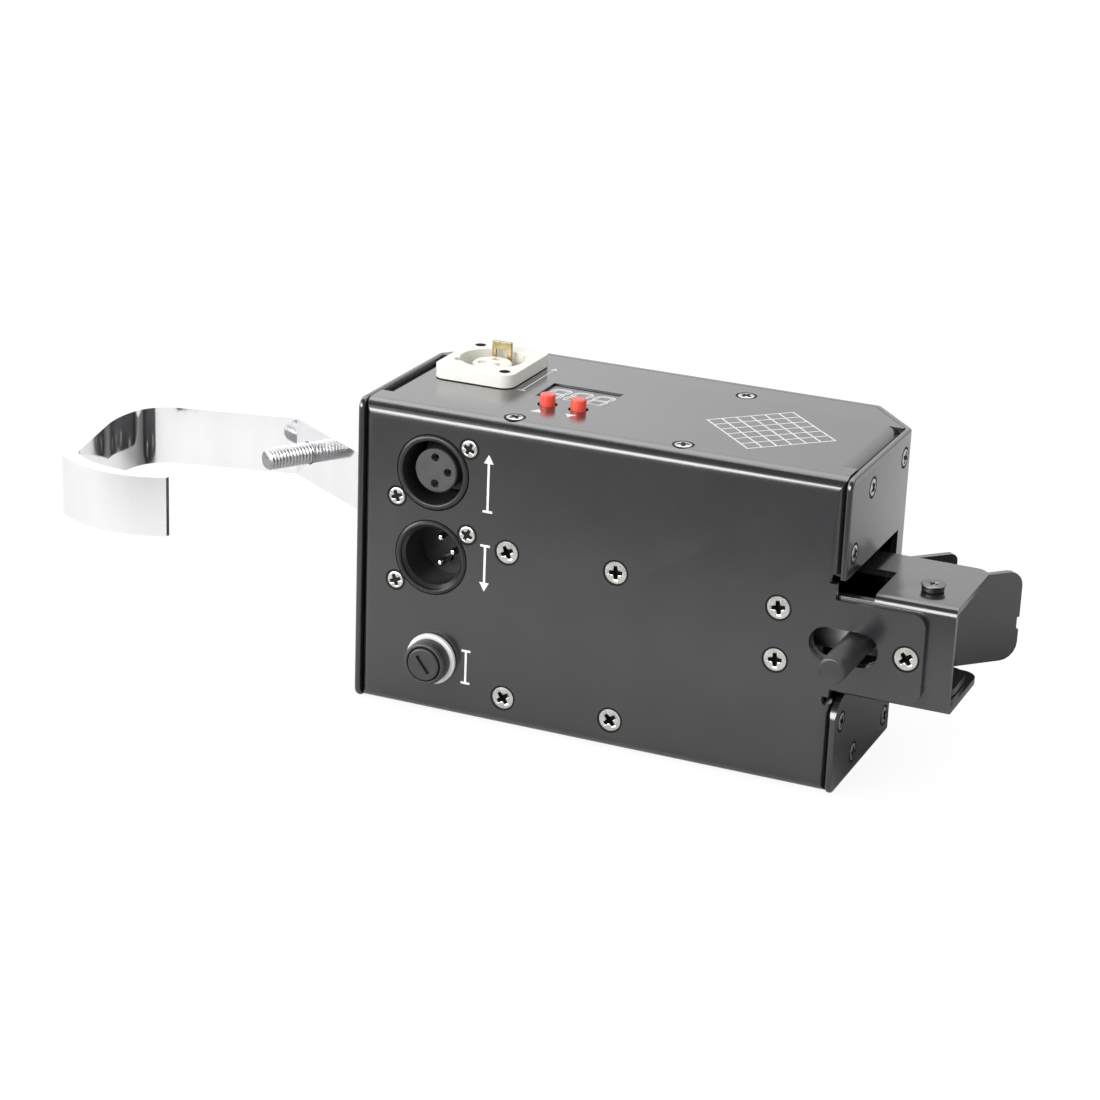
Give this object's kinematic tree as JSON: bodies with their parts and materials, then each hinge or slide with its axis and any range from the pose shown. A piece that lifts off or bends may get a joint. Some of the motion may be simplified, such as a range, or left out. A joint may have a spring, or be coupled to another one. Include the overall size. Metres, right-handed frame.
{
  "type": "curtain drop machine",
  "caption": "Black steel box that hangs from a pipe by a hook clamp and lets a curtain ring go from a rotary fork, with data, power and fuse connectors, display and buttons.",
  "frame": {"origin": "middle of the housing's flat bottom face", "axes": "+X from the hook clamp towards the release fork, +Y from the connector panel towards the rear, +Z up with the control panel on top, as in the picture; in use the part hangs with -X up"},
  "size_m": [0.3228, 0.1295, 0.1072],
  "materials": {
    "black_coat": "fine-textured satin powder coat",
    "nickel": "nickel-plated, bright",
    "steel": "machined, zinc grey",
    "aluminium": "polished extrusion",
    "black_metal": "semi-gloss black",
    "black_plastic": "moulded matte",
    "ivory_plastic": "moulded satin ivory",
    "blue_plastic": "moulded satin blue",
    "red_plastic": "moulded gloss orange-red",
    "white_plastic": "soft white washer",
    "display_face": "grey display face",
    "silver": "silver-plated contacts",
    "brass": "dull brass",
    "copper_winding": "varnished winding",
    "board": "green solder mask",
    "clear_glass": "clear"
  },
  "bodies": {
    "housing": {"front_shell": "black_coat", "wrap_cover": "black_coat", "release_bracket": "black_coat", "pivot_bolt": "nickel", "pivot_collar": "black_metal", "lower_spacer": "steel", "upper_spacer": "steel", "latch_guide": "black_plastic", "solenoid_frame": "steel", "solenoid_coil": "copper_winding", "board_post_1": "nickel", "board_post_2": "nickel", "power_board": "board", "control_board": "board", "display": "display_face", "button_switch_1": "black_plastic", "button_switch_2": "black_plastic", "xlr_out_shell": "black_metal", "xlr_out_insert": "black_plastic", "xlr_in_shell": "black_metal", "xlr_in_pin_1": "silver", "xlr_in_pin_2": "silver", "xlr_in_pin_3": "silver", "power_outlet": "ivory_plastic", "power_outlet_tongue": "brass", "power_inlet": "blue_plastic", "power_inlet_tongue": "brass", "fuse_body": "black_plastic", "fuse_ring": "white_plastic", "fuse_nut": "black_plastic", "hook_clamp": "aluminium", "foot_bolt": "nickel", "foot_nut": "nickel", "panel_screw_1": "nickel", "panel_screw_2": "nickel", "panel_screw_3": "nickel", "panel_screw_4": "nickel", "panel_screw_5": "nickel", "panel_screw_6": "nickel", "tab_screw": "nickel", "latch_spring": "steel"},
    "jaw": {"jaw": "black_coat", "jaw_cam": "steel"},
    "latch": {"latch_slide": "steel", "release_rod": "black_metal", "plunger": "steel"},
    "clamp_bolt": {"clamp_bolt": "steel"},
    "fuse_carrier": {"fuse_link": "clear_glass"},
    "fuse_cap": {"fuse_cap": "black_plastic"},
    "button_1": {"button_1": "red_plastic"},
    "button_2": {"button_2": "red_plastic"}
  },
  "joints": [
    {"name": "jaw_pivot", "type": "hinge", "parent": "housing", "child": "jaw", "pos_m": [0.1016, -0.023, 0.0481], "axis": [0, 0, 1], "range_deg": [0, 44]},
    {"name": "latch_travel", "type": "slide", "parent": "housing", "child": "latch", "axis": [1, 0, 0], "range_m": [-0.0079, 0.0023], "stiffness_N_per_m": 250, "deforming": ["latch_spring"]},
    {"name": "clamp_travel", "type": "slide", "parent": "housing", "child": "clamp_bolt", "axis": [-0.5446, -0.8387, 0], "range_m": [-0.01, 0.012]},
    {"name": "fuse_pull", "type": "slide", "parent": "housing", "child": "fuse_carrier", "axis": [0, -1, 0], "range_m": [0, 0.026]},
    {"name": "fuse_turn", "type": "hinge", "parent": "fuse_carrier", "child": "fuse_cap", "pos_m": [-0.0522, -0.0376, 0.0188], "axis": [0, -1, 0], "range_deg": [-90, 0]},
    {"name": "button_1_press", "type": "slide", "parent": "housing", "child": "button_1", "axis": [0, 0, -1], "range_m": [0, 0.0008], "stiffness_N_per_m": 400, "springref_m": -0.001},
    {"name": "button_2_press", "type": "slide", "parent": "housing", "child": "button_2", "axis": [0, 0, -1], "range_m": [0, 0.0008], "stiffness_N_per_m": 400, "springref_m": -0.001}
  ]
}
